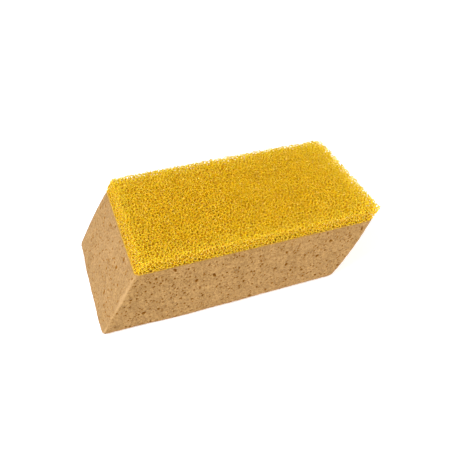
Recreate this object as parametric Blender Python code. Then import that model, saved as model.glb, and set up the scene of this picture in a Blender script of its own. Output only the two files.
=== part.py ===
"""Tiler's two-layer grouting sponge with slanted ends.

A block of fine-celled washing sponge carries a layer of coarse scouring foam on its
top face, and a thin adhesive film between them holds the two together.  Seen from its
long side the block is a parallelogram: both ends lean towards +X by the same angle.

Frame: metres, +Z up, +X along the length, +Y across the width.  The origin is the
centre of the bounding box's bottom face.
"""

import math

import bmesh
import bpy

# Driving dimensions, in metres and radians.
FACE_LENGTH = 0.180  # along X, the same on the base face and on the top face
BLOCK_WIDTH = 0.100  # along Y
BLOCK_HEIGHT = 0.060  # base face to scouring face
END_SLANT = math.radians(29.0)  # lean of both ends from the vertical, towards +X
SCOUR_THICKNESS = 0.010  # scouring face down to the middle of the adhesive
FILM_THICKNESS = 0.0004
FILM_INSET = 0.0020  # the adhesive stops this far short of the block's sides
PIECE_GAP = 0.0003  # clearance between neighbouring solids
CORNER_WIDTH = 0.0035  # rounding of the four upright corners, measured along each side
BASE_EDGE_WIDTH = 0.0025  # rounding around the base face, measured along each side
CORNER_SEGMENTS = 5
BASE_EDGE_SEGMENTS = 4
SHARP_ANGLE = math.radians(32.0)  # edges sharper than this keep a hard shading break

# Heights of the layers, worked out from the dimensions above.
GLUE_PLANE = BLOCK_HEIGHT - SCOUR_THICKNESS
FILM_BOTTOM = GLUE_PLANE - FILM_THICKNESS / 2
FILM_TOP = GLUE_PLANE + FILM_THICKNESS / 2
SPONGE_TOP = FILM_BOTTOM - PIECE_GAP
SCOUR_BOTTOM = FILM_TOP + PIECE_GAP


def clear_scene():
    """Remove every object that the file holds."""
    for old in list(bpy.data.objects):
        bpy.data.objects.remove(old, do_unlink=True)


def make_material(name, colour, roughness):
    """A non-metallic Principled material of one colour."""
    material = bpy.data.materials.new(name)
    material.use_nodes = True
    shader = material.node_tree.nodes["Principled BSDF"]
    shader.inputs["Base Color"].default_value = (*colour, 1.0)
    shader.inputs["Roughness"].default_value = roughness
    shader.inputs["Metallic"].default_value = 0.0
    return material


def lean_at(height):
    """How far the slant has carried a cross-section along X at this height."""
    return (height - BLOCK_HEIGHT / 2) * math.tan(END_SLANT)


def outline_at(height, inset):
    """The block's four corners at one height, anticlockwise seen from above."""
    half_length = FACE_LENGTH / 2 - inset
    half_width = BLOCK_WIDTH / 2 - inset
    shift = lean_at(height)
    return [
        (shift - half_length, -half_width, height),
        (shift + half_length, -half_width, height),
        (shift + half_length, half_width, height),
        (shift - half_length, half_width, height),
    ]


def slanted_slab(bm, bottom, top, inset=0.0):
    """A closed slab of the block between two heights."""
    low = [bm.verts.new(corner) for corner in outline_at(bottom, inset)]
    high = [bm.verts.new(corner) for corner in outline_at(top, inset)]
    bm.faces.new(reversed(low))
    bm.faces.new(high)
    for here in range(4):
        beyond = (here + 1) % 4
        bm.faces.new((low[here], low[beyond], high[beyond], high[here]))


def is_upright(edge):
    """True for an edge that joins a slab's bottom outline to its top outline."""
    heights = [vertex.co.z for vertex in edge.verts]
    return max(heights) - min(heights) > PIECE_GAP


def lies_at(edge, height):
    """True for an edge that lies at the given height."""
    return all(abs(vertex.co.z - height) < PIECE_GAP for vertex in edge.verts)


def round_edges(bm, edges, width, segments):
    """Replace the edges with a rounding of the given width."""
    bmesh.ops.bevel(
        bm,
        geom=edges,
        offset=width,
        offset_type="OFFSET",
        segments=segments,
        profile=0.5,
        affect="EDGES",
        clamp_overlap=True,
    )


def finish_object(name, bm, material):
    """Turn the bmesh into an object that is shaded smooth across its roundings."""
    bmesh.ops.recalc_face_normals(bm, faces=bm.faces[:])
    mesh = bpy.data.meshes.new(name)
    bm.to_mesh(mesh)
    bm.free()
    mesh.materials.append(material)
    mesh.shade_smooth()
    mesh.set_sharp_from_angle(angle=SHARP_ANGLE)
    piece = bpy.data.objects.new(name, mesh)
    bpy.context.collection.objects.link(piece)
    return piece


def make_sponge_body():
    """The fine-celled washing sponge, rounded at its corners and around its base."""
    bm = bmesh.new()
    slanted_slab(bm, 0.0, SPONGE_TOP)
    corners = [edge for edge in bm.edges if is_upright(edge)]
    round_edges(bm, corners, CORNER_WIDTH, CORNER_SEGMENTS)
    base_edges = [edge for edge in bm.edges if lies_at(edge, 0.0)]
    round_edges(bm, base_edges, BASE_EDGE_WIDTH, BASE_EDGE_SEGMENTS)
    tan = make_material("sponge_tan", (0.52, 0.29, 0.105), 0.9)
    return finish_object("sponge_body", bm, tan)


def make_adhesive_film():
    """The dried adhesive that holds the two layers together."""
    bm = bmesh.new()
    slanted_slab(bm, FILM_BOTTOM, FILM_TOP, FILM_INSET)
    # A slab this thin is told apart by height, not by is_upright.
    corners = [edge for edge in bm.edges if edge.verts[0].co.z != edge.verts[1].co.z]
    round_edges(bm, corners, CORNER_WIDTH - FILM_INSET, CORNER_SEGMENTS)
    amber = make_material("adhesive_amber", (0.62, 0.42, 0.14), 0.45)
    return finish_object("adhesive_film", bm, amber)


def make_scouring_foam():
    """The coarse open-celled foam, cut square along its upper edges."""
    bm = bmesh.new()
    slanted_slab(bm, SCOUR_BOTTOM, BLOCK_HEIGHT)
    corners = [edge for edge in bm.edges if is_upright(edge)]
    round_edges(bm, corners, CORNER_WIDTH, CORNER_SEGMENTS)
    yellow = make_material("foam_yellow", (0.80, 0.46, 0.02), 0.4)
    return finish_object("scouring_foam", bm, yellow)


def centre_over_origin(pieces):
    """Slide the pieces along X until their common bounding box is centred on it."""
    reach = [vertex.co.x for piece in pieces for vertex in piece.data.vertices]
    middle = (min(reach) + max(reach)) / 2
    for piece in pieces:
        piece.location.x = -middle


def main():
    clear_scene()
    centre_over_origin([make_sponge_body(), make_adhesive_film(), make_scouring_foam()])


main()
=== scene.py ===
"""The looks of the slant-ended grouting sponge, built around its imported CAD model.

The washing sponge becomes one closed skin with real pits, rounded edges and a shallow
pocket in its top.  The adhesive becomes a thin uneven sheet that lies in the pocket.  The
scouring foam becomes an open network of struts: the edges of a foam of space-filling
cells, cut off at the faces of the block.
"""

import math
from itertools import combinations
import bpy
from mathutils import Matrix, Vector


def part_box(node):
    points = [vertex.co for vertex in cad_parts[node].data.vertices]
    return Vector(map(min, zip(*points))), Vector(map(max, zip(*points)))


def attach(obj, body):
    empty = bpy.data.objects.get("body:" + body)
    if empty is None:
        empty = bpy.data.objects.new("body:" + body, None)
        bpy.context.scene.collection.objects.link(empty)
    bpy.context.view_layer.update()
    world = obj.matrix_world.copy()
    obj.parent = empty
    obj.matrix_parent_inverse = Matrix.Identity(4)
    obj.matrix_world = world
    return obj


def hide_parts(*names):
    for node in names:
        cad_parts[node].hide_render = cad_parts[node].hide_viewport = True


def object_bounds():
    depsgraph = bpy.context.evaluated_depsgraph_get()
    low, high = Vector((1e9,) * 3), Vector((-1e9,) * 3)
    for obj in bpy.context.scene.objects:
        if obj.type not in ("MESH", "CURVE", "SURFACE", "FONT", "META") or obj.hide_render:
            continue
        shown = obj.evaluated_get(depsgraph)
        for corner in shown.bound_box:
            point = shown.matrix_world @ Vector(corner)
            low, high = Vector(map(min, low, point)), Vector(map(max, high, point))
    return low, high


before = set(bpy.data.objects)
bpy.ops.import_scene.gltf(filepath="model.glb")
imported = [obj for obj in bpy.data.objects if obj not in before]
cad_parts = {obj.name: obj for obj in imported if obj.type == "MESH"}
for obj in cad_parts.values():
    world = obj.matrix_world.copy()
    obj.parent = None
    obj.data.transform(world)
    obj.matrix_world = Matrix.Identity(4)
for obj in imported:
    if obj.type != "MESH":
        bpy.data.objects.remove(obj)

from types import SimpleNamespace

import bpy
import numpy as np
from mathutils import Euler, Vector, kdtree

cad_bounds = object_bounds()
cad_size = np.array(cad_bounds[1]) - np.array(cad_bounds[0])

MM = 0.001

# ---------------------------------------------------------------------------
# The block, read from the frame.  Both ends lean towards +X by END_SLANT.
# ---------------------------------------------------------------------------
END_SLANT = math.radians(29.0)
LEAN = math.tan(END_SLANT)

foam_low, foam_high = (np.array(corner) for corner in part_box("scouring_foam"))
film_low, film_high = (np.array(corner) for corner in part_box("adhesive_film"))

HEIGHT = foam_high[2]
WIDTH = foam_high[1] - foam_low[1]
FACE_LENGTH = foam_high[0] - foam_low[0] - (foam_high[2] - foam_low[2]) * LEAN
MIDDLE_X = foam_high[0] - FACE_LENGTH / 2 - HEIGHT / 2 * LEAN  # the block's own centre


def upright(points):
    """The points with the block's slant taken out and its centre moved to x = 0."""
    moved = np.array(points, float)
    moved[..., 0] -= MIDDLE_X + (moved[..., 2] - HEIGHT / 2) * LEAN
    return moved


def slanted(points):
    """The reverse of upright."""
    moved = np.array(points, float)
    moved[..., 0] += MIDDLE_X + (moved[..., 2] - HEIGHT / 2) * LEAN
    return moved


def waves(points, wavelength, seed, count=9):
    """Smooth noise between about -1 and 1: plane waves in random directions."""
    draw = np.random.default_rng(seed)
    total = np.zeros(points.shape[:-1])
    for _ in range(count):
        heading = draw.normal(size=3)
        heading *= 2 * math.pi / (wavelength * draw.uniform(0.7, 1.4)) / np.linalg.norm(heading)
        total += np.sin(points @ heading + draw.uniform(0, 2 * math.pi))
    return total / math.sqrt(count * 1.5)


def unit(vectors):
    """The vectors scaled to length 1."""
    return vectors / np.linalg.norm(vectors, axis=-1, keepdims=True)


def new_object(name, points, face_groups, material, marks):
    """A mesh object, shaded smooth.

    Each face group is an array with one row per face.  The marks are named values, one
    for each point, that the material reads.
    """
    mesh = bpy.data.meshes.new(name)
    mesh.vertices.add(len(points))
    mesh.vertices.foreach_set("co", points.astype(np.float32).ravel())
    corners = np.concatenate([group.ravel() for group in face_groups]).astype(np.int32)
    sides = np.concatenate([np.full(len(group), group.shape[1]) for group in face_groups])
    mesh.loops.add(len(corners))
    mesh.loops.foreach_set("vertex_index", corners)
    mesh.polygons.add(len(sides))
    starts = np.concatenate([[0], np.cumsum(sides)[:-1]]).astype(np.int32)
    mesh.polygons.foreach_set("loop_start", starts)
    mesh.update(calc_edges=True)
    mesh.shade_smooth()
    mesh.materials.append(material)
    for mark, values in marks.items():
        attribute = mesh.attributes.new(mark, "FLOAT", "POINT")
        attribute.data.foreach_set("value", values.astype(np.float32))
    made = bpy.data.objects.new(name, mesh)
    bpy.context.collection.objects.link(made)
    return made


# ---------------------------------------------------------------------------
# Materials
# ---------------------------------------------------------------------------
class Nodes:
    """Short calls for building one material's node tree."""

    def __init__(self, name):
        self.material = bpy.data.materials.new(name)
        self.material.use_nodes = True
        self.tree = self.material.node_tree
        self.shader = self.tree.nodes["Principled BSDF"]

    def add(self, kind):
        """A new node."""
        return self.tree.nodes.new(kind)

    def link(self, source, target):
        """A link between two sockets."""
        self.tree.links.new(source, target)

    def set(self, name, value):
        """A constant value on the shader's own socket."""
        self.shader.inputs[name].default_value = value

    def coordinates(self):
        """The object's own coordinates, in metres."""
        return self.add("ShaderNodeTexCoord").outputs["Object"]

    def noise(self, scale, detail=2.0, roughness=0.5, distortion=0.0):
        """Cloudy noise; scale is about how many clouds there are in a metre."""
        node = self.add("ShaderNodeTexNoise")
        node.inputs["Scale"].default_value = scale
        node.inputs["Detail"].default_value = detail
        node.inputs["Roughness"].default_value = roughness
        node.inputs["Distortion"].default_value = distortion
        self.link(self.coordinates(), node.inputs["Vector"])
        return node.outputs["Fac"]

    def cells(self, scale):
        """The distance to the nearest of many scattered points, scale of them in a metre."""
        node = self.add("ShaderNodeTexVoronoi")
        node.inputs["Scale"].default_value = scale
        self.link(self.coordinates(), node.inputs["Vector"])
        return node.outputs["Distance"]

    def ramp(self, source, stops):
        """A colour ramp; stops are (position, colour) pairs."""
        node = self.add("ShaderNodeValToRGB")
        band = node.color_ramp
        while len(band.elements) < len(stops):
            band.elements.new(0.5)
        for element, (position, colour) in zip(band.elements, stops):
            element.position = position
            element.color = (*colour, 1.0)
        self.link(source, node.inputs["Fac"])
        return node.outputs["Color"]

    def spread(self, source, low, high, to_low, to_high):
        """The source mapped from low..high to to_low..to_high."""
        node = self.add("ShaderNodeMapRange")
        for key, value in (
            ("From Min", low), ("From Max", high), ("To Min", to_low), ("To Max", to_high)
        ):
            node.inputs[key].default_value = value
        self.link(source, node.inputs["Value"])
        return node.outputs["Result"]

    def mix(self, share, first, second, blend="MIX"):
        """A colour mix; share may be a number or a socket."""
        node = self.add("ShaderNodeMix")
        node.data_type = "RGBA"
        node.blend_type = blend
        for key, value in (("Factor", share), ("A", first), ("B", second)):
            slot = next(s for s in node.inputs if s.name == key and s.enabled)
            if isinstance(value, bpy.types.NodeSocket):
                self.link(value, slot)
            else:
                slot.default_value = value if isinstance(value, float) else (*value, 1.0)
        return next(s for s in node.outputs if s.name == "Result" and s.enabled)

    def sum(self, first, second, share):
        """first + second * share."""
        node = self.add("ShaderNodeMath")
        node.operation = "MULTIPLY_ADD"
        self.link(second, node.inputs[0])
        node.inputs[1].default_value = share
        self.link(first, node.inputs[2])
        return node.outputs[0]

    def attribute(self, name):
        """One of the mesh's marks."""
        node = self.add("ShaderNodeAttribute")
        node.attribute_name = name
        return node.outputs["Fac"]

    def bump(self, height, distance, strength):
        """Fine relief from a height, distance deep."""
        node = self.add("ShaderNodeBump")
        node.inputs["Distance"].default_value = distance
        node.inputs["Strength"].default_value = strength
        self.link(height, node.inputs["Height"])
        self.link(node.outputs["Normal"], self.shader.inputs["Normal"])


def sponge_material():
    """Matt tan foam: fine cells and mottled colour, with painted shade in its fine hollows and,
    darker and warmer, inside its pits.
    """
    n = Nodes("sponge_tan")
    white = (1.0, 1.0, 1.0)
    tan, light_tan = (0.437, 0.249, 0.075), (0.50, 0.291, 0.095)
    pale_bead_tan, pit_shade_brown = (0.54, 0.33, 0.14), (0.285, 0.114, 0.008)
    grain = n.noise(640.0, detail=3.0, roughness=0.7)
    cells = n.cells(1250.0)
    pores = n.cells(430.0)
    colour = n.ramp(n.noise(95.0, detail=3.0), [(0.35, tan), (0.65, light_tan)])
    # Each layer darkens the colour in its hollows, painted shade for the grain, cells and pores:
    # its share, source and ramp.
    for share, source, stops in (
        (1.0, grain, [(0.30, (0.52, 0.46, 0.38)), (0.68, white)]),
        (0.35, cells, [(0.05, (0.62, 0.52, 0.38)), (0.45, white)]),
        (1.0, pores, [(0.10, (0.60, 0.50, 0.38)), (0.24, white)]),
    ):
        colour = n.mix(share, colour, n.ramp(source, stops), blend="MULTIPLY")
    # The corner beads are paler.
    colour = n.mix(n.attribute("ridge"), colour, pale_bead_tan)
    # Painted shade: the colour turns darker and warmer the deeper a point lies inside a pit.
    inside = n.spread(n.attribute("pit"), 0.0, 0.4, 0.0, 1.0)
    n.link(n.mix(inside, colour, pit_shade_brown), n.shader.inputs["Base Color"])
    n.link(n.spread(grain, 0.3, 0.7, 0.95, 0.8), n.shader.inputs["Roughness"])
    n.set("Specular IOR Level", 0.2)
    n.set("Sheen Weight", 0.1)
    n.set("Sheen Roughness", 0.5)
    n.bump(n.sum(grain, cells, 0.8), 0.25 * MM, 0.8)
    return n.material


def foam_material():
    """Glossy yellow struts, a little uneven in tone, paler near the layer's outer sides by
    painted light, and darker deep down and on the outermost rim by painted shade.
    """
    n = Nodes("foam_yellow")
    yellow, light_yellow = (0.82, 0.475, 0.006), (0.88, 0.530, 0.010)
    depth_shade_amber, painted_glow_yellow = (0.65, 0.29, 0.003), (0.95, 0.66, 0.022)
    rim_shade_yellow, glowing_rim_shade_yellow = (0.61, 0.36, 0.007), (0.59, 0.39, 0.020)
    fleck = n.noise(620.0, detail=1.0)
    flecks = n.ramp(fleck, [(0.35, (0.90, 0.82, 0.6)), (0.65, (1.0, 1.0, 1.0))])
    painted_glow = n.attribute("painted_glow")
    soft = n.attribute("soft")
    colour = n.ramp(n.noise(160.0, detail=2.0), [(0.35, yellow), (0.65, light_yellow)])
    colour = n.mix(0.5, colour, flecks, blend="MULTIPLY")
    # Painted shade: deeper in the layer the struts turn a darker amber, less so near the front
    # and back.
    colour = n.mix(n.attribute("painted_depth_shade"), colour, depth_shade_amber)
    # Painted light: the struts turn a paler yellow near the layer's outer sides.
    colour = n.mix(painted_glow, colour, painted_glow_yellow)
    # Painted shade: the outermost rim of struts is darker, in a slightly different tone where the
    # painted light is strong.
    colour = n.mix(n.attribute("rim"), colour, n.mix(painted_glow, rim_shade_yellow, glowing_rim_shade_yellow))
    n.link(colour, n.shader.inputs["Base Color"])
    gloss = n.spread(fleck, 0.3, 0.7, 0.14, 0.30)
    n.link(n.sum(gloss, soft, 0.35), n.shader.inputs["Roughness"])
    n.link(n.spread(soft, 0.0, 0.8, 0.60, 0.95), n.shader.inputs["Subsurface Weight"])
    n.set("Specular IOR Level", 0.42)
    n.set("Specular Tint", (1.0, 0.80, 0.34, 1.0))
    n.set("Subsurface Radius", (1.0, 0.95, 0.8))
    n.set("Subsurface Scale", 1.3 * MM)
    n.set("Subsurface Anisotropy", 0.7)
    return n.material


def adhesive_material():
    """Dried adhesive: amber, streaky, half glossy."""
    n = Nodes("adhesive_amber")
    amber, light_amber = (0.48, 0.26, 0.010), (0.58, 0.33, 0.02)
    streaks = n.noise(240.0, detail=3.0, distortion=0.6)
    n.link(n.ramp(streaks, [(0.3, amber), (0.7, light_amber)]), n.shader.inputs["Base Color"])
    n.link(n.spread(streaks, 0.3, 0.7, 0.35, 0.6), n.shader.inputs["Roughness"])
    n.bump(streaks, 0.15 * MM, 0.5)
    return n.material


# ---------------------------------------------------------------------------
# The washing sponge: a grid over the block's skin, rounded, then pitted.
# ---------------------------------------------------------------------------
SKIN_STEP = 0.45 * MM
# Rounding of the upright corners: (front left, front right), (back left, back right).
CORNER_ROUND = np.array([[3.0, 4.0], [5.5, 4.5]]) * MM
BASE_SHARE = 0.9  # rounding around the base over that of the nearest upright corner
RIDGE_HEIGHT = 0.35 * MM  # a faint bead runs down each upright corner
RIDGE_WIDTH = 1.6 * MM
RIDGE_WANDER = 0.7 * MM  # how far the bead strays from the corner's middle
RIDGE_FADE = 2 * MM  # the bead fades out over this height above the base
RIDGE_TINT = 0.6  # how much of its paler colour the bead takes
FILM_CLEARANCE = 0.03 * MM
LIP_TOP = film_high[2] - 0.04 * MM
LIP_FLOOR = film_low[2] - FILM_CLEARANCE
LIP_CELLS = 2  # the lip around the pocket is this many grid cells wide, and its step one

# Pits: (number per square centimetre, smallest and largest radius, depth over radius)
PIT_FAMILIES = (
    (0.12, 1.4 * MM, 1.9 * MM, 0.9),
    (1.10, 0.85 * MM, 1.25 * MM, 1.0),
    (4.5, 0.55 * MM, 0.85 * MM, 1.1),
    (9.0, 0.36 * MM, 0.52 * MM, 1.2),
)
PER_SQUARE_METRE = 1e4  # square centimetres in a square metre
PIT_BIAS = 1.6  # above 1, a family has more pits near its smallest radius
BIG_PIT = 0.8 * MM
BIG_PIT_SPACING = 3.0  # the least distance between two big pits, over their summed radii
PIT_SPACING = 1.15  # the same between a big pit and a small one
PIT_HEADROOM = 1.5  # the least height from a pit up to the lip, over its radius
RIDGE_LIMIT = 0.3  # pits keep off the corner beads where these stand higher than this
END_SHARE = 0.75  # the share of the pits that the two slanted ends keep
END_FACING = 0.7  # the skin is an end's where its normal has more X than this
PIT_HEADING = (0.3, 0.2, 0.9)  # pits are drawn out along this way, give or take the turn
PIT_TURN = 0.4  # radians
PIT_STRETCH = 0.7  # how much longer than wide a pit can be
PIT_LOBES = (0.12, 0.09)  # unevenness of its outline, in two and in three lobes
PIT_RIM = (0.80, 1.25)  # points between these shares of the outline move onto it
PIT_REACH = 2.2  # a pit moves points up to here at most, over its radius

BELLY_LEFT = 0.9 * MM  # how far the free sides swell out below the glued top
BELLY_RIGHT = 1.6 * MM
BELLY_ACROSS = 1.2 * MM
EVEN_BELLY = 0.8  # the share of the swelling that is the same all along a side
MIDDLE_BELLY = 0.8  # the share that is greatest in the side's middle, near the base

SWELLS = ((0.24 * MM, 34 * MM, 3), (0.08 * MM, 6 * MM, 4))  # (height, wavelength, seed)
GRAIN = 0.035 * MM  # the height of the skin's random grain
EASE_REACH = 3 * MM  # swells and grain ease off this close below the lip
LEAST_EASE = 0.25
BASE_EASE = 0.35  # the base face is flatter than the sides
BASE_SKIN = 0.01 * MM  # points lower than this are on the base face


def skin_grid():
    """Points and quads of a box's surface grid, with the middle of its top left open.

    Returns the grid's integer points, its counts along X, Y and Z, its quads, and the
    ring of points around the opening, anticlockwise seen from above.
    """
    counts = np.array(
        [round(FACE_LENGTH / SKIN_STEP), round(WIDTH / SKIN_STEP), round(LIP_TOP / SKIN_STEP)]
    )
    nx, ny, nz = counts
    number = -np.ones(counts + 1, int)
    on_skin = np.zeros(counts + 1, bool)
    on_skin[0], on_skin[-1] = True, True
    on_skin[:, 0], on_skin[:, -1] = True, True
    on_skin[:, :, 0], on_skin[:, :, -1] = True, True
    inset = LIP_CELLS + 1
    on_skin[inset + 1:nx - inset, inset + 1:ny - inset, nz] = False
    grid = np.argwhere(on_skin)
    number[tuple(grid.T)] = np.arange(len(grid))

    def patch(sheet, turned):
        """The quads of a sheet of point numbers, without those that the opening breaks."""
        quads = np.stack([sheet[:-1, :-1], sheet[1:, :-1], sheet[1:, 1:], sheet[:-1, 1:]], -1)
        quads = quads.reshape(-1, 4)
        quads = quads[(quads >= 0).all(1)]
        return quads[:, ::-1] if turned else quads

    top = number[:, :, nz]
    quads = [
        patch(number[:, :, 0], True),
        patch(top, False),
        patch(number[:, 0, :], False),
        patch(number[:, ny, :], True),
        patch(number[0, :, :], True),
        patch(number[nx, :, :], False),
    ]
    along_x = np.arange(inset, nx - inset)
    along_y = np.arange(inset, ny - inset)
    ring = np.concatenate(
        [
            top[along_x, inset],
            top[nx - inset, along_y],
            top[along_x[::-1] + 1, ny - inset],
            top[inset, along_y[::-1] + 1],
        ]
    )
    return grid, counts, np.concatenate(quads), ring


def rounded_skin(grid, counts):
    """The grid's points on the upright block with its edges rounded, and the ridge mark."""
    size = np.array([FACE_LENGTH, WIDTH, LIP_TOP])
    points = (grid / counts - np.array([0.5, 0.5, 0.0])) * size
    share = points[:, :2] / size[:2] + 0.5
    rightness, backness = (share ** 2 * (3 - 2 * share)).T
    corner = sum(
        CORNER_ROUND[back, right]
        * (backness if back else 1 - backness)
        * (rightness if right else 1 - rightness)
        for back in (0, 1)
        for right in (0, 1)
    )
    reach_of = np.column_stack([corner, corner, BASE_SHARE * corner])
    over = np.abs(points[:, :2]) - (size[:2] / 2 - corner[:, None])
    across = np.sign(points[:, :2]) * np.maximum(over, 0)
    down = np.minimum(points[:, 2] - reach_of[:, 2], 0)
    reach = np.column_stack([across, down]) / reach_of
    largest = np.abs(reach).max(1)
    length = np.linalg.norm(reach, axis=1)
    reach *= (largest / np.maximum(length, 1e-9))[:, None]
    rounded = points + reach * reach_of - np.column_stack([across, down])
    aside = np.abs(np.abs(reach[:, 0]) - np.abs(reach[:, 1])) * corner
    aside += RIDGE_WANDER * waves(points, 30 * MM, 5)
    ridge = np.exp(-(aside / RIDGE_WIDTH) ** 2) * (np.abs(reach[:, :2]).min(1) > 0)
    return rounded, ridge * np.clip(points[:, 2] / RIDGE_FADE, 0, 1)


def swollen(points):
    """The upright skin with its sides swelling out a little below the glued top."""
    along, across, up = (points / np.array([FACE_LENGTH / 2, WIDTH / 2, LIP_TOP])).T
    even = EVEN_BELLY * 4 * up * (1 - up)

    def belly(sideways):
        """The share of the swelling, from the place along the side, -1 to 1."""
        middle = MIDDLE_BELLY * (1 - sideways ** 2) * (1 - up ** 3)
        return 1 - (1 - even) * (1 - middle)

    moved = points.copy()
    moved[:, 0] += along * np.where(along > 0, BELLY_RIGHT, BELLY_LEFT) * belly(across)
    moved[:, 1] += across * BELLY_ACROSS * belly(along)
    return moved


def vertex_normals(points, quads):
    """Unit normals of the grid's points, from the diagonals of its quads."""
    facing = np.cross(
        points[quads[:, 2]] - points[quads[:, 0]], points[quads[:, 3]] - points[quads[:, 1]]
    )
    normals = np.zeros_like(points)
    for corner in range(4):
        np.add.at(normals, quads[:, corner], facing)
    return unit(normals)


def scatter_pits(points, normals, allowed, area, draw):
    """A search tree of the points, and the pits as (point number, radius, depth).

    The big pits come first, and every pit keeps clear of the big ones before it.
    """
    tree = kdtree.KDTree(len(points))
    for index, point in enumerate(points):
        tree.insert(point, index)
    tree.balance()
    free = np.flatnonzero(allowed)
    taken, pits = [], []
    for density, small, large, depth in PIT_FAMILIES:
        for _ in range(round(density * area * PER_SQUARE_METRE)):
            radius = small + (large - small) * draw.random() ** PIT_BIAS
            at = int(draw.choice(free))
            kept = abs(normals[at][0]) < END_FACING or draw.random() < END_SHARE
            spacing = BIG_PIT_SPACING if radius > BIG_PIT else PIT_SPACING
            close = any(
                np.linalg.norm(points[at] - points[other]) < spacing * (radius + other_radius)
                for other, other_radius in taken
            )
            if kept and not close and points[at][2] + PIT_HEADROOM * radius < LIP_TOP:
                pits.append((at, radius, depth * radius))
                if radius > BIG_PIT:
                    taken.append((at, radius))
    return tree, pits


def press_pits(points, normals, tree, pits, draw):
    """Push each pit into the points, and return how deep inside a pit each one lies."""
    moved = points.copy()
    inside = np.zeros(len(points))
    for at, radius, depth in pits:
        centre, normal = points[at], normals[at]
        side = unit(np.cross(normal, PIT_HEADING))
        up = np.cross(normal, side)
        turn = draw.normal(math.pi / 2, PIT_TURN)
        long_way = math.cos(turn) * side + math.sin(turn) * up
        short_way = np.cross(normal, long_way)
        stretch = 1.0 + PIT_STRETCH * draw.random() ** 2
        phases = draw.uniform(0, 2 * math.pi, 2)
        hits = tree.find_range(Vector(centre), radius * PIT_REACH)
        near = np.array([hit[1] for hit in hits])
        offset = points[near] - centre
        along, aside = offset @ long_way / stretch ** 0.5, offset @ short_way * stretch ** 0.5
        angle = np.arctan2(aside, along)
        outline = radius * (
            1
            + PIT_LOBES[0] * np.sin(2 * angle + phases[0])
            + PIT_LOBES[1] * np.sin(3 * angle + phases[1])
        )
        share = np.hypot(along, aside) / outline
        # Points beside the rim move onto it, so that the rim is crisp.
        wanted = np.where(share < PIT_RIM[0], share, np.where(share < PIT_RIM[1], 1.0, share))
        slide = (wanted / np.maximum(share, 1e-6) - 1.0)[:, None] * (
            offset - np.outer(offset @ normal, normal)
        )
        bowl = np.sqrt(np.clip(1 - wanted ** 2, 0, 1))
        deeper = bowl > inside[near]
        chosen = near[deeper]
        moved[chosen] = points[chosen] + slide[deeper] - np.outer(bowl[deeper] * depth, normal)
        inside[chosen] = bowl[deeper]
        on_rim = (wanted == 1.0) & (inside[near] == 0)
        moved[near[on_rim]] = points[near[on_rim]] + slide[on_rim]
    return moved, inside


def make_sponge(material):
    """The washing sponge as one closed skin."""
    draw = np.random.default_rng(231)
    grid, counts, quads, ring = skin_grid()
    base, ridge = rounded_skin(grid, counts)
    base = slanted(swollen(base))
    normals = vertex_normals(base, quads)
    on_top = grid[:, 2] == counts[2]
    area = 2 * (FACE_LENGTH + WIDTH) * LIP_TOP + FACE_LENGTH * WIDTH
    tree, pits = scatter_pits(base, normals, ~on_top & (ridge < RIDGE_LIMIT), area, draw)
    skin, inside = press_pits(base, normals, tree, pits, draw)
    swell = sum(height * waves(base, length, seed) for height, length, seed in SWELLS)
    grain = draw.normal(size=len(base)) * GRAIN
    ease = np.clip((LIP_TOP - base[:, 2]) / EASE_REACH, LEAST_EASE, 1)
    ease[base[:, 2] < BASE_SKIN] *= BASE_EASE
    skin += normals * ((swell + grain + RIDGE_HEIGHT * ridge) * ease * ~on_top)[:, None]
    # The lip: flat on top, then a step down to the floor that the adhesive lies on.
    skin[on_top, 2] = LIP_TOP
    skin[ring, 2] = LIP_FLOOR
    skin[:, 2] = np.maximum(skin[:, 2], 0.0)
    marks = {"pit": inside, "ridge": RIDGE_TINT * ridge * (inside == 0)}
    made = new_object("sponge_skin", skin, [quads, ring[None]], material, marks)
    made.data.polygons[len(quads)].use_smooth = False  # the pocket's floor is flat
    return made


# ---------------------------------------------------------------------------
# The adhesive: a thin layer that stands a little higher along the block's sides.
# ---------------------------------------------------------------------------
GLUE_STEP = 1.0 * MM
GLUE_INSET = 0.2 * MM  # its edge stays this far inside the block's sides
GLUE_CORNER = 3.5 * MM
GLUE_RISE = 0.55 * MM  # how much higher it stands at its edge
GLUE_RISE_REACH = 2.5 * MM
GLUE_RIPPLE = 0.45  # unevenness of the rise: short waves, then long ones
GLUE_DRIFT = 0.2
GLUE_ROLL = 0.6  # at the very edge its upper face keeps this share of its height
POCKET_INSET = 2.0 * MM  # inside this line it lies in the sponge's shallow pocket


def glue_top(flat):
    """The height of the adhesive's upper face, at points of the upright block."""
    half = np.array([FACE_LENGTH, WIDTH]) / 2
    inwards = np.maximum(half - np.abs(flat[..., :2]), 0).min(-1)
    level = flat * [1, 1, 0]
    uneven = 1 + GLUE_RIPPLE * waves(level, 5 * MM, 31) + GLUE_DRIFT * waves(level, 19 * MM, 32)
    return film_high[2] + GLUE_RISE * uneven * np.exp(-(inwards / GLUE_RISE_REACH) ** 2)


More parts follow.
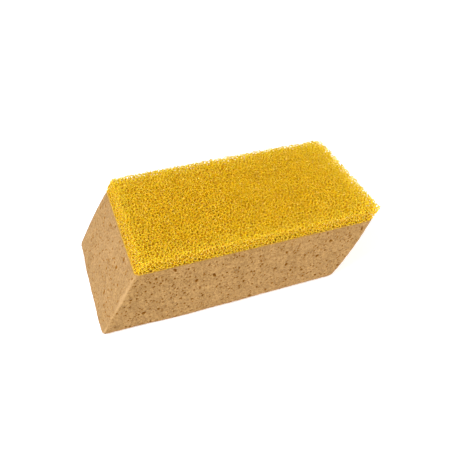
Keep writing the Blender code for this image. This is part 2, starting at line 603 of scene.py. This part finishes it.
def make_adhesive(material):
    """The adhesive as one closed slab, with a lip that lies on the sponge's rim."""
    half = np.array([FACE_LENGTH, WIDTH]) / 2 - GLUE_INSET
    counts = np.round(2 * half / GLUE_STEP).astype(int)
    grid = np.stack(np.meshgrid(*(np.arange(n + 1) for n in counts), indexing="ij"), -1)
    plan = (grid / counts - 0.5) * 2 * half
    over = np.maximum(np.abs(plan) - (half - GLUE_CORNER), 0)
    length = np.maximum(np.linalg.norm(over, axis=-1, keepdims=True), 1e-9)
    plan -= np.sign(plan) * over * (1 - over.max(-1, keepdims=True) / length)
    inwards = (np.minimum(grid, counts - grid) / counts * 2 * half).min(-1)
    top = glue_top(np.dstack([plan, np.zeros(plan.shape[:2])]))
    bottom = np.where(
        inwards + GLUE_INSET > POCKET_INSET, film_low[2], LIP_TOP + FILM_CLEARANCE
    )
    top = np.where(inwards == 0, (1 - GLUE_ROLL) * bottom + GLUE_ROLL * top, top)
    points = [np.dstack([plan, level]).reshape(-1, 3) for level in (bottom, top)]
    number = np.arange(grid[..., 0].size).reshape(grid.shape[:2])
    cells = np.stack([number[:-1, :-1], number[1:, :-1], number[1:, 1:], number[:-1, 1:]], -1)
    cells = cells.reshape(-1, 4)
    rim = np.concatenate([number[:-1, 0], number[-1, :-1], number[:0:-1, -1], number[0, :0:-1]])
    beyond = np.roll(rim, -1)
    walls = np.stack([rim, beyond, beyond + number.size, rim + number.size], 1)
    quads = np.concatenate([cells[:, ::-1], cells + number.size, walls])
    return new_object("adhesive_layer", slanted(np.concatenate(points)), [quads], material, {})


# ---------------------------------------------------------------------------
# The scouring foam: cell edges of a periodic foam, cut by the block's faces.
# ---------------------------------------------------------------------------
CELL = 2.5 * MM
CUBE = 8.6 * CELL  # the computed foam repeats after this distance
CUBE_RADIUS = 0.9  # a little over half of a cube's diagonal, over its side
BEND_ALLOWANCE = 2 * MM  # room for the moves of the nodes when the skeleton is bent
CELL_VOLUME = 0.72  # a cell's mean volume, over CELL cubed
SPREAD_ROUNDS = 12  # the cells' seeds push each other apart this many times
PUSHING_SEEDS = 14  # the nearest ones, of which those within the reach push
SPREAD_REACH = 1.15  # over CELL
SPREAD_STEP = 0.18
RELAX_ROUNDS = 8  # the nodes then move towards their neighbours this many times
RELAX_STEP = 0.3
NEAR_SEEDS = 24  # a cell's corners are looked for among this many nearest seeds
FLAT = 1e-5  # four seeds that span less than this share of CELL cubed are passed over
SLACK = 1e-13  # rounding allowed where no seed may be nearer, in square metres
BLOCK = 256  # points whose neighbours are looked for at once, to save memory

FOAM_TURN = (0.5, 0.35, 0.8)  # the cubes lie askew, so that no repeat shows
WOBBLE = 0.6 * MM  # the skeleton is bent by long waves, and each node is then jogged
WOBBLE_LENGTH = 24 * MM
WOBBLE_SEEDS = (21, 22, 23)
JOG = 0.05  # over CELL

NODE_RADIUS = 0.35 * MM
NODE_SPREAD = (0.85, 1.25)
EDGE_GROWTH = 0.25  # nodes are larger by up to this share near the block's sides
EDGE_GROWTH_DEPTH = 1.5 * MM
EDGE_GROWTH_REACH = 2 * MM
STRUTS = 4  # at each node
# A node has a corner between every two of its struts.
PAIRS = tuple(combinations(range(STRUTS), 2))
PAIR_OF = np.full((STRUTS, STRUTS), -1)
for pair_number, (one_strut, other_strut) in enumerate(PAIRS):
    PAIR_OF[one_strut, other_strut] = pair_number
    PAIR_OF[other_strut, one_strut] = pair_number

STRIPS = 10
# Rounding of the foam's corners: (front left, front right), (back left, back right).
FOAM_CORNERS = ((4.5 * MM, 4.5 * MM), (3.0 * MM, 9.0 * MM))
CUT_HALVINGS = 12  # how closely the place where a strut leaves the layer is found
# A cut strut's end, in millimetres past the face: the least, the range of its random
# length, and how much the range grows from the layer's bottom to its top.
TIP_LEAST = -0.35
TIP_RANGE = 0.4
TIP_GROWTH = 0.4
RAGGED_GROWTH = 0.8  # the same at the right and back edges, which are more ragged
RAGGED_REACH = 3.0 * MM
SHORTEST_TIP = 0.03 * MM

# Painted light, a paler colour near the outer sides that stands in for light getting in: (share
# at the edge, how far in it reaches).
PAINTED_GLOWS = {
    "left": (0.36, 13.0 * MM),
    "right": (0.90, 12.0 * MM),
    "front": (0.55, 9.0 * MM),
    "back": (0.90, 8.0 * MM),
}
# The painted light fades with depth over GLOW_DEPTH.
GLOW_DEPTH = 7.5 * MM
# Painted shade on the outermost rim reaches RIM_REACH in from the sides and RIM_DEPTH down.
RIM_REACH = 1.3 * MM
RIM_DEPTH = 14.0 * MM
SOFT_REACH = 7.0 * MM
SOFT_SLOPE = 0.3  # depth counts this much beside the distance from the nearest side
# The painted shade deep in the foam fades out near the front and back sides over DEEP_REACH, and
# grows with depth to the power DEEP_POWER.
DEEP_REACH = 4 * MM
DEEP_POWER = 1.3


def nearest_in_cube(points, count):
    """Each point's nearest neighbours in the endless repeated cube, and the ways there."""
    index = np.empty((len(points), count), int)
    way = np.empty((len(points), count, 3))
    for start in range(0, len(points), BLOCK):
        gap = points[None] - points[start:start + BLOCK, None]
        gap -= CUBE * np.round(gap / CUBE)
        far = (gap ** 2).sum(2)
        order = np.argsort(far, axis=1)[:, 1:count + 1]
        index[start:start + BLOCK] = order
        way[start:start + BLOCK] = np.take_along_axis(gap, order[:, :, None], 1)
    return index, way


def even_seeds(draw):
    """Random seeds of the foam's cells in one cube, spread out evenly."""
    seeds = draw.random((round(CUBE ** 3 / (CELL_VOLUME * CELL ** 3)), 3)) * CUBE
    for _ in range(SPREAD_ROUNDS):
        _, way = nearest_in_cube(seeds, PUSHING_SEEDS)
        far = np.linalg.norm(way, axis=2, keepdims=True)
        push = (np.maximum(0, SPREAD_REACH * CELL - far) * way / far).sum(1)
        seeds = (seeds - SPREAD_STEP * push) % CUBE
    return seeds


def cell_corners(seeds):
    """The points equally far from four seeds with none nearer, and their four seeds."""
    index, way = nearest_in_cube(seeds, NEAR_SEEDS)
    triples = np.array(list(combinations(range(NEAR_SEEDS), 3)))
    places, owners = [], []
    for seed in range(len(seeds)):
        ways = way[seed]
        half = (ways ** 2).sum(1) / 2
        some = triples[(index[seed][triples] > seed).all(1)]
        first, second, third = (ways[some[:, k]] for k in range(3))
        crosses = np.cross(second, third), np.cross(third, first), np.cross(first, second)
        volume = (first * crosses[0]).sum(1)
        solid = np.abs(volume) > FLAT * CELL ** 3
        some, volume = some[solid], volume[solid]
        centre = sum(
            half[some[:, k]][:, None] * crosses[k][solid] for k in range(3)
        ) / volume[:, None]
        empty = (centre @ ways.T <= half + SLACK).all(1)
        places.append(seeds[seed] + centre[empty])
        owners.append(np.column_stack([np.full(empty.sum(), seed), index[seed][some[empty]]]))
    return np.concatenate(places), np.sort(np.concatenate(owners), 1)


def linked(nodes, owners):
    """Where each node's four struts lead.

    Strut k runs between the cells of all its node's seeds but the k-th.  Returns for each
    strut the node it leads to, which strut of that node it is, and the steps to that
    node's cube.
    """
    count = len(nodes)
    shared = np.concatenate([np.delete(owners, k, axis=1) for k in range(STRUTS)])
    order = np.lexsort(shared.T[::-1])
    same = (shared[order][1:] == shared[order][:-1]).all(1)
    one, other = order[:-1][same], order[1:][same]
    leads_to = np.empty((count, STRUTS), int)
    as_strut = np.empty((count, STRUTS), int)
    for a, b in ((one, other), (other, one)):
        leads_to[a % count, a // count] = b % count
        as_strut[a % count, a // count] = b // count
    steps = -np.round((nodes[leads_to] - nodes[:, None]) / CUBE).astype(int)
    return leads_to, as_strut, steps


def foam_cube(draw):
    """One period of the foam's skeleton: its nodes, their seeds, and their four struts."""
    nodes, owners = cell_corners(even_seeds(draw))
    leads_to, as_strut, steps = linked(nodes, owners)
    for _ in range(RELAX_ROUNDS):
        nodes = nodes + RELAX_STEP * (nodes[leads_to] + steps * CUBE - nodes[:, None]).mean(1)
    return nodes, owners, leads_to, as_strut, steps


def outside_foam(points):
    """How far the points lie outside the foam layer; negative inside it."""
    flat = upright(points)
    at_right = (flat[..., 0] > 0).astype(int)
    at_back = (flat[..., 1] > 0).astype(int)
    radius = np.array(FOAM_CORNERS)[at_back, at_right]
    over_x = np.abs(flat[..., 0]) - (FACE_LENGTH / 2 - radius)
    over_y = np.abs(flat[..., 1]) - (WIDTH / 2 - radius)
    plan = np.hypot(np.maximum(over_x, 0), np.maximum(over_y, 0)) - radius
    plan += np.minimum(np.maximum(over_x, over_y), 0)
    above = points[..., 2] - HEIGHT
    below = glue_top(flat) + FILM_CLEARANCE - points[..., 2]
    return np.maximum(plan, np.maximum(above, below))


def from_sides(points):
    """How far in from each of the block's four sides the points lie."""
    flat = upright(points)
    return {
        "left": np.maximum(FACE_LENGTH / 2 + flat[..., 0], 0),
        "right": np.maximum(FACE_LENGTH / 2 - flat[..., 0], 0),
        "front": np.maximum(WIDTH / 2 + flat[..., 1], 0),
        "back": np.maximum(WIDTH / 2 - flat[..., 1], 0),
    }


def foam_marks(points):
    """Where the foam gets painted light, looks soft, gets painted shade deep down, and where its
    outermost rim gets painted shade.
    """
    sides = from_sides(points)
    nearest = np.minimum.reduce(list(sides.values()))
    front_or_back = np.minimum(sides["front"], sides["back"])
    depth = np.maximum(HEIGHT - points[:, 2], 0)
    without_painted_glow = np.ones(len(points))
    for side, (share, reach) in PAINTED_GLOWS.items():
        without_painted_glow *= 1 - share * np.exp(-sides[side] / reach)
    painted_depth_shade = np.clip(depth / (HEIGHT - film_high[2]), 0, 1) ** DEEP_POWER
    return {
        "painted_glow": (1 - without_painted_glow) * np.exp(-depth / GLOW_DEPTH),
        "soft": np.exp(-(nearest + SOFT_SLOPE * depth) / SOFT_REACH),
        "painted_depth_shade": painted_depth_shade * (1 - np.exp(-front_or_back / DEEP_REACH)),
        "rim": np.exp(-nearest / RIM_REACH - depth / RIM_DEPTH),
    }


def cubes_in_layer(turn, middle):
    """The cubes that may touch the layer, and a table from a cube's steps to its number.

    The table's indices are the steps plus an offset, which is returned as well.
    """
    reach = math.ceil((cad_size / CUBE).max()) + 1
    steps = np.arange(-reach, reach + 1)
    cubes = np.stack(np.meshgrid(steps, steps, steps, indexing="ij"), -1).reshape(-1, 3)
    centres = (cubes + 0.5) * CUBE @ turn.T + middle
    cubes = cubes[outside_foam(centres) < CUBE * CUBE_RADIUS + BEND_ALLOWANCE]
    offset = reach + 1
    table = np.full((2 * offset + 1,) * 3, -1)
    table[tuple((cubes + offset).T)] = np.arange(len(cubes))
    return cubes, table, offset


def foam_skeleton(draw):
    """The nodes inside the layer, each with its strip, its seeds and its four struts.

    A strut has a way and a length, its neighbour, which is the node at its far end or -1
    where that lies outside the layer, and far_strut, which strut of that node it is.
    """
    nodes, owners, leads_to, as_strut, steps = foam_cube(draw)
    turn = np.array(Euler(FOAM_TURN).to_matrix())
    middle = np.array([0.0, 0.0, (film_high[2] + HEIGHT) / 2])
    cubes, table, offset = cubes_in_layer(turn, middle)
    places = (nodes[None] + CUBE * cubes[:, None]) @ turn.T + middle
    bends = [waves(places, WOBBLE_LENGTH, seed) for seed in WOBBLE_SEEDS]
    places += WOBBLE * np.stack(bends, -1)
    places += draw.normal(size=places.shape) * JOG * CELL

    cube, node = np.nonzero(outside_foam(places) < 0)
    number = np.full(places.shape[:2], -1)
    number[cube, node] = np.arange(len(cube))
    next_steps = cubes[cube][:, None] + steps[node]
    next_cube = table[tuple(np.moveaxis(next_steps, -1, 0) + offset)]
    next_node = leads_to[node]
    here = places[cube, node]
    way = places[next_cube, next_node] - here[:, None]
    length = np.linalg.norm(way, axis=2)
    strip = np.floor((upright(here)[:, 0] / FACE_LENGTH + 0.5) * STRIPS).astype(int)
    return SimpleNamespace(
        places=here,
        way=way / length[..., None],
        length=length,
        neighbour=number[next_cube, next_node],
        far_strut=as_strut[node],
        seeds=owners[node],
        strip=np.clip(strip, 0, STRIPS - 1),
    )


class Network:
    """The skin of the struts as it grows: its points, the strip of each, and its faces."""

    def __init__(self):
        self.points = []
        self.strips = []
        self.triangles = []
        self.quads = []
        self.total = 0

    def add_points(self, places, strips):
        """Add one group of points for each of the strips, and return their numbers."""
        numbers = self.total + np.arange(places.size // 3).reshape(places.shape[:2])
        self.points.append(places.reshape(-1, 3))
        self.strips.append(np.repeat(strips, places.shape[1]))
        self.total += numbers.size
        return numbers

    def add_sleeves(self, near, far):
        """Three quads that join two matching triangles."""
        for k in range(3):
            after = (k + 1) % 3
            self.quads.append(np.stack([near[:, k], near[:, after], far[:, after], far[:, k]], 1))


def node_corners(skeleton, draw):
    """The six corners around each node, one between every two of its struts."""
    nearest = np.minimum.reduce(list(from_sides(skeleton.places).values()))
    radius = NODE_RADIUS * draw.uniform(*NODE_SPREAD, len(skeleton.places))
    beside = np.exp(-((nearest - EDGE_GROWTH_DEPTH) / EDGE_GROWTH_REACH) ** 2)
    radius *= 1 + EDGE_GROWTH * beside
    corners = np.empty((len(radius), len(PAIRS), 3))
    for pair, (a, b) in enumerate(PAIRS):
        between = skeleton.way[:, a] + skeleton.way[:, b]
        heading = unit(2 * between - skeleton.way.sum(1))
        corners[:, pair] = skeleton.places + radius[:, None] * heading
    return corners


def outward(trios, points, centres):
    """The triangles, turned where needed so that they face away from the centres."""
    at = points[trios]
    facing = np.cross(at[:, 1] - at[:, 0], at[:, 2] - at[:, 0])
    wrong = (facing * (at.mean(1) - centres)).sum(1) < 0
    return np.where(wrong[:, None], trios[:, ::-1], trios)


def add_webs(network, skeleton, corners):
    """A triangle between every three struts of a node."""
    for a, b, c in combinations(range(STRUTS), 3):
        trio = corners[:, [PAIR_OF[a, b], PAIR_OF[b, c], PAIR_OF[a, c]]]
        network.triangles.append(outward(trio, network.points[0], skeleton.places))


def strut_mouths(network, skeleton, corners, strut):
    """The triangle at each node that a strut starts from, facing along the strut.

    Each of its corners is labelled with the seed of the cell across the strut from it,
    which is how it finds its match at the strut's far end.
    """
    others = [k for k in range(STRUTS) if k != strut]
    mouth = corners[:, PAIR_OF[strut, others]]
    label = skeleton.seeds[:, others]
    at = network.points[0][mouth]
    facing = np.cross(at[:, 1] - at[:, 0], at[:, 2] - at[:, 0])
    wrong = (facing * skeleton.way[:, strut]).sum(1) < 0
    order = np.where(wrong[:, None], [[0, 2, 1]], [[0, 1, 2]])
    return np.take_along_axis(mouth, order, 1), np.take_along_axis(label, order, 1)


def far_mouths(skeleton, corners, strut, ones, label):
    """The corners at the far ends of some nodes' struts, in the order of the labels."""
    other = skeleton.neighbour[ones, strut]
    match = (skeleton.seeds[other][:, None, :] == label[ones][:, :, None]).argmax(2)
    return corners[other[:, None], PAIR_OF[skeleton.far_strut[ones, strut][:, None], match]]


def join_struts(network, skeleton, corners, strut, mouth, label):
    """Join each node to its neighbour; between two strips, cap both of the loose ends."""
    beyond = skeleton.neighbour[:, strut]
    joined = beyond >= 0
    same_strip = joined & (skeleton.strip == skeleton.strip[beyond])
    first = np.arange(len(beyond)) < beyond

    ones = np.flatnonzero(same_strip & first)
    network.add_sleeves(mouth[ones], far_mouths(skeleton, corners, strut, ones, label))

    # Between two strips, the strut ends on a copy of the far node's corners.
    ones = np.flatnonzero(joined & ~same_strip & first)
    there = far_mouths(skeleton, corners, strut, ones, label)
    there = network.add_points(network.points[0][there], skeleton.strip[ones])
    network.triangles.append(there)
    network.add_sleeves(mouth[ones], there)
    network.triangles.append(mouth[joined & ~same_strip & ~first])


def end_struts(network, skeleton, strut, mouth, draw):
    """Run the struts that leave the layer up to its faces, with uneven, capped ends."""
    cut = np.flatnonzero(skeleton.neighbour[:, strut] < 0)
    start = network.points[0][mouth[cut]]
    ray = skeleton.way[cut, strut][:, None]
    near = np.zeros((len(cut), 3))
    far = np.repeat(skeleton.length[cut, strut][:, None], 3, 1)
    for _ in range(CUT_HALVINGS):
        half = (near + far) / 2
        out = outside_foam(start + half[..., None] * ray) > 0
        near, far = np.where(out, near, half), np.where(out, half, far)
    rise = np.clip((start[:, :1, 2] - film_high[2]) / (HEIGHT - film_high[2]), 0, 1)
    sides = from_sides(skeleton.places[cut])
    ragged = np.minimum(sides["right"], sides["back"])[:, None] < RAGGED_REACH
    span = TIP_RANGE + np.where(ragged, RAGGED_GROWTH, TIP_GROWTH) * rise
    tip = (TIP_LEAST + draw.random((len(cut), 1)) * span) * MM
    reach = np.maximum(near + tip, SHORTEST_TIP)
    ends = network.add_points(start + reach[..., None] * ray, skeleton.strip[cut])
    network.add_sleeves(mouth[cut], ends)
    network.triangles.append(ends)


def strip_objects(network, material):
    """One object for each strip of the network."""
    points, strips = np.concatenate(network.points), np.concatenate(network.strips)
    triangles, quads = np.concatenate(network.triangles), np.concatenate(network.quads)
    marks = foam_marks(points)
    made = []
    for k in range(STRIPS):
        kept = np.flatnonzero(strips == k)
        renumber = np.zeros(len(points), int)
        renumber[kept] = np.arange(len(kept))
        groups = [renumber[faces[strips[faces[:, 0]] == k]] for faces in (triangles, quads)]
        kept_marks = {mark: values[kept] for mark, values in marks.items()}
        name = f"scouring_foam_strip_{k + 1:02d}"
        strip = new_object(name, points[kept], groups, material, kept_marks)
        strip.data.shade_flat()  # smooth shading would darken struts this thin
        made.append(strip)
    return made


def make_foam(material):
    """The foam layer, in strips that each hold a part of its nodes."""
    draw = np.random.default_rng(7)
    skeleton = foam_skeleton(draw)
    network = Network()
    corners = network.add_points(node_corners(skeleton, draw), skeleton.strip)
    add_webs(network, skeleton, corners)
    for strut in range(STRUTS):
        mouth, label = strut_mouths(network, skeleton, corners, strut)
        join_struts(network, skeleton, corners, strut, mouth, label)
        end_struts(network, skeleton, strut, mouth, draw)
    return strip_objects(network, material)


# ---------------------------------------------------------------------------
# Floor, light and camera
# ---------------------------------------------------------------------------
FLOOR_SIZE = 6.0
FLOOR_GAP = 0.2 * MM  # the floor is this far below the block, so that they don't coincide

CAMERA_LENS = 45.43
CAMERA_SENSOR = 36.0
CAMERA_PLACE = (-0.1172, -0.3139, 0.3201)  # from the floor under the block's middle
CAMERA_TURN = (49.304, -1.145, -20.049)  # degrees


def make_floor():
    """A plain near-white floor."""
    n = Nodes("floor_white")
    n.set("Base Color", (0.93, 0.93, 0.93, 1.0))
    n.set("Roughness", 0.9)
    n.set("Emission Color", (1.0, 1.0, 1.0, 1.0))
    n.set("Emission Strength", 0.4)
    bpy.ops.mesh.primitive_plane_add(size=FLOOR_SIZE, location=(0.0, 0.0, -FLOOR_GAP))
    floor = bpy.context.object
    floor.name = "floor"
    floor.data.materials.append(n.material)


def make_light(name, place, size, power, colour=(1.0, 1.0, 1.0)):
    """A square soft box that faces the block."""
    lamp = bpy.data.lights.new(name, "AREA")
    lamp.size = size
    lamp.energy = power
    lamp.color = colour
    holder = bpy.data.objects.new(name, lamp)
    holder.location = place
    aim = Vector((MIDDLE_X, 0.0, HEIGHT / 2)) - Vector(place)
    holder.rotation_euler = aim.to_track_quat("-Z", "Y").to_euler()
    bpy.context.collection.objects.link(holder)


def make_studio():
    """A sky that is white low down and grey overhead, a soft key light and a weak fill."""
    world = bpy.data.worlds.new("studio")
    world.use_nodes = True
    tree = world.node_tree
    direction = tree.nodes.new("ShaderNodeTexCoord").outputs["Generated"]
    parts = tree.nodes.new("ShaderNodeSeparateXYZ")
    sky = tree.nodes.new("ShaderNodeValToRGB")
    sky.color_ramp.elements[0].color = (1.0, 1.0, 1.0, 1.0)
    sky.color_ramp.elements[1].color = (0.30, 0.30, 0.30, 1.0)
    sky.color_ramp.elements[1].position = 0.7
    tree.links.new(direction, parts.inputs["Vector"])
    tree.links.new(parts.outputs["Z"], sky.inputs["Fac"])
    tree.links.new(sky.outputs["Color"], tree.nodes["Background"].inputs["Color"])
    bpy.context.scene.world = world
    make_light("key", (-0.90, -0.20, 0.98), 0.70, 18.5, (0.965, 1.005, 1.15))
    make_light("fill", (0.42, -0.42, 0.40), 0.60, 2.6)
    bpy.context.scene.cycles.max_bounces = 12
    bpy.context.scene.cycles.diffuse_bounces = 10
    bpy.context.scene.view_settings.view_transform = "Standard"


def make_camera():
    """The photo's view: from the front and a little from the left, looking down."""
    camera = bpy.data.cameras.new("camera")
    camera.lens = CAMERA_LENS
    camera.sensor_width = CAMERA_SENSOR
    camera.clip_start = 0.01
    holder = bpy.data.objects.new("camera", camera)
    holder.location = Vector(CAMERA_PLACE) + Vector((MIDDLE_X, 0.0, 0.0))
    holder.rotation_euler = [math.radians(angle) for angle in CAMERA_TURN]
    bpy.context.collection.objects.link(holder)
    bpy.context.scene.camera = holder


make_camera()
make_studio()
make_floor()

sponge = make_sponge(sponge_material())
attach(sponge, "root")
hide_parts("sponge_body")

for strip in make_foam(foam_material()):
    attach(strip, "root")
    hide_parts("scouring_foam")

adhesive = make_adhesive(adhesive_material())
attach(adhesive, "root")
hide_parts("adhesive_film")
